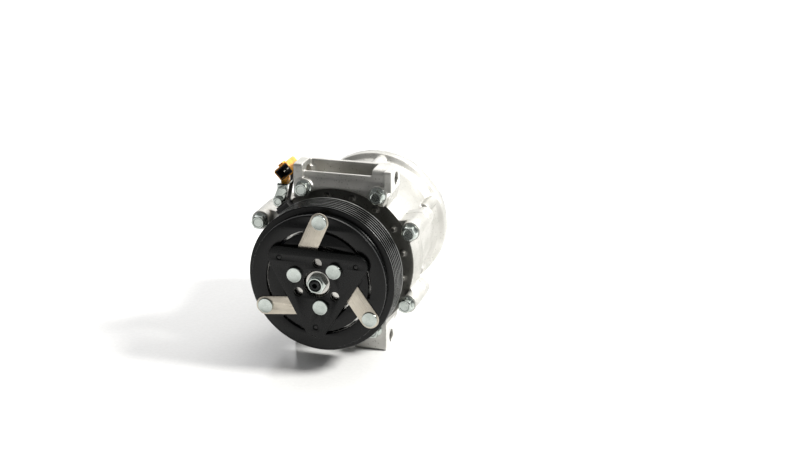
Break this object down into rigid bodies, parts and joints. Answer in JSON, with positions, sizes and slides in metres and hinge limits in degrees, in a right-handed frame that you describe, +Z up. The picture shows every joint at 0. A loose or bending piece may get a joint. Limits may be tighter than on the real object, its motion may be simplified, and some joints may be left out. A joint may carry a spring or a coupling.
{
  "type": "automotive air-conditioning compressor",
  "caption": "Belt-driven vehicle air-conditioning compressor with ribbed pulley, magnetic clutch, cast housing with cross-bolt ears, scroll set and ported rear head.",
  "frame": {"origin": "on the shaft axis, in the front face of the clutch's hub plate (centre of the puller hole circle)", "axes": "+Y along the shaft to the rear, +Z up with the mounting ears above and below, +X to the right seen from the front"},
  "size_m": [0.1414, 0.215, 0.1525],
  "materials": {
    "cast_aluminium": "as-cast satin",
    "machined_aluminium": "machined, hard anodised",
    "black_ecoat": "satin black coated steel",
    "zinc_steel": "bright zinc plated",
    "bare_steel": "ground steel",
    "spring_steel": "rolled spring steel",
    "bearing_steel": "polished hardened steel",
    "brass": "machined brass",
    "cast_iron": "machined cast iron",
    "rubber": "moulded rubber",
    "coil_resin": "cast resin over copper",
    "black_plastic": "moulded",
    "yellow_plastic": "moulded",
    "ptfe": "filled PTFE",
    "copper": "annealed copper"
  },
  "bodies": {
    "housing": {"front_housing": "cast_aluminium", "scroll_housing": "cast_aluminium", "rear_head": "cast_aluminium", "front_bolts": "zinc_steel", "head_bolts": "zinc_steel", "case_o_rings": "rubber", "pulley_bearing_inner_race": "bearing_steel", "pulley_bearing_inner_circlip": "spring_steel", "coil_shell": "black_ecoat", "coil_winding": "coil_resin", "coil_grommet": "rubber", "coil_circlip": "spring_steel", "coil_lead": "black_plastic", "connector_shell": "yellow_plastic", "connector_insert": "black_plastic", "connector_pins": "brass", "connector_bracket": "zinc_steel", "bracket_screw": "zinc_steel", "oil_plug": "zinc_steel", "oil_plug_washer": "copper", "relief_valve": "brass", "fixed_scroll": "machined_aluminium", "fixed_tip_seal": "ptfe", "coupling_fixed_race": "bare_steel", "discharge_reed": "spring_steel", "reed_stop": "spring_steel", "reed_screw": "zinc_steel", "main_bearing_outer_race": "bearing_steel", "front_needle_cup": "bearing_steel", "shaft_seal": "rubber", "seal_circlip": "spring_steel"},
    "pulley": {"pulley_rotor": "black_ecoat", "pulley_bearing_outer_race": "bearing_steel", "pulley_bearing_seals": "rubber", "pulley_bearing_outer_circlip": "spring_steel"},
    "pulley_ball_set": {"pulley_bearing_balls": "bearing_steel", "pulley_bearing_cages": "black_plastic"},
    "shaft": {"main_shaft": "bare_steel", "clutch_hub": "bare_steel", "hub_plate": "black_ecoat", "hub_rivets": "zinc_steel", "stop_buffers": "rubber", "hub_nut": "zinc_steel", "air_gap_shims": "bare_steel", "hub_key": "bare_steel", "leaf_springs": "spring_steel", "drive_bush": "bare_steel", "counterweight": "cast_iron", "main_bearing_inner_race": "bearing_steel"},
    "armature": {"armature_disc": "black_ecoat", "armature_rivets": "zinc_steel"},
    "main_ball_set": {"main_bearing_balls": "bearing_steel", "main_bearing_cage": "brass"},
    "front_needle_set": {"front_needles": "bearing_steel"},
    "orbiter": {"orbiting_scroll": "machined_aluminium", "orbiting_tip_seal": "ptfe", "coupling_orbiting_race": "bare_steel", "drive_needle_cup": "bearing_steel"},
    "coupling_ball_set": {"coupling_balls": "bearing_steel"},
    "drive_needle_set": {"drive_needles": "bearing_steel"}
  },
  "joints": [
    {"name": "pulley_spin", "type": "hinge", "parent": "housing", "child": "pulley", "pos_m": [0, 0, 0], "axis": [0, 1, 0], "continuous": true},
    {"name": "pulley_ball_roll", "type": "hinge", "parent": "housing", "child": "pulley_ball_set", "pos_m": [0, 0, 0], "axis": [0, 1, 0], "continuous": true},
    {"name": "shaft_spin", "type": "hinge", "parent": "housing", "child": "shaft", "pos_m": [0, 0, 0], "axis": [0, 1, 0], "continuous": true},
    {"name": "armature_pull", "type": "slide", "parent": "shaft", "child": "armature", "axis": [0, 1, 0], "range_m": [0, 0.0005], "stiffness_N_per_m": 20000, "deforming": ["leaf_springs"]},
    {"name": "main_ball_roll", "type": "hinge", "parent": "housing", "child": "main_ball_set", "pos_m": [0, 0, 0], "axis": [0, 1, 0], "continuous": true},
    {"name": "front_needle_roll", "type": "hinge", "parent": "housing", "child": "front_needle_set", "pos_m": [0, 0, 0], "axis": [0, 1, 0], "continuous": true},
    {"name": "scroll_orbit", "type": "hinge", "parent": "shaft", "child": "orbiter", "pos_m": [0.00405, 0, 0], "axis": [0, 1, 0], "continuous": true},
    {"name": "coupling_ball_orbit", "type": "hinge", "parent": "shaft", "child": "coupling_ball_set", "pos_m": [0.00202, 0, 0], "axis": [0, 1, 0], "continuous": true},
    {"name": "drive_needle_roll", "type": "hinge", "parent": "shaft", "child": "drive_needle_set", "pos_m": [0.00405, 0, 0], "axis": [0, 1, 0], "continuous": true}
  ],
  "couplings": [
    {"joint": "pulley_ball_roll", "follows": "pulley_spin", "ratio": 0.5733},
    {"joint": "main_ball_roll", "follows": "shaft_spin", "ratio": 0.4},
    {"joint": "front_needle_roll", "follows": "shaft_spin", "ratio": 0.4326},
    {"joint": "scroll_orbit", "follows": "shaft_spin", "ratio": -1},
    {"joint": "coupling_ball_orbit", "follows": "shaft_spin", "ratio": -1},
    {"joint": "drive_needle_roll", "follows": "shaft_spin", "ratio": -0.5555}
  ]
}
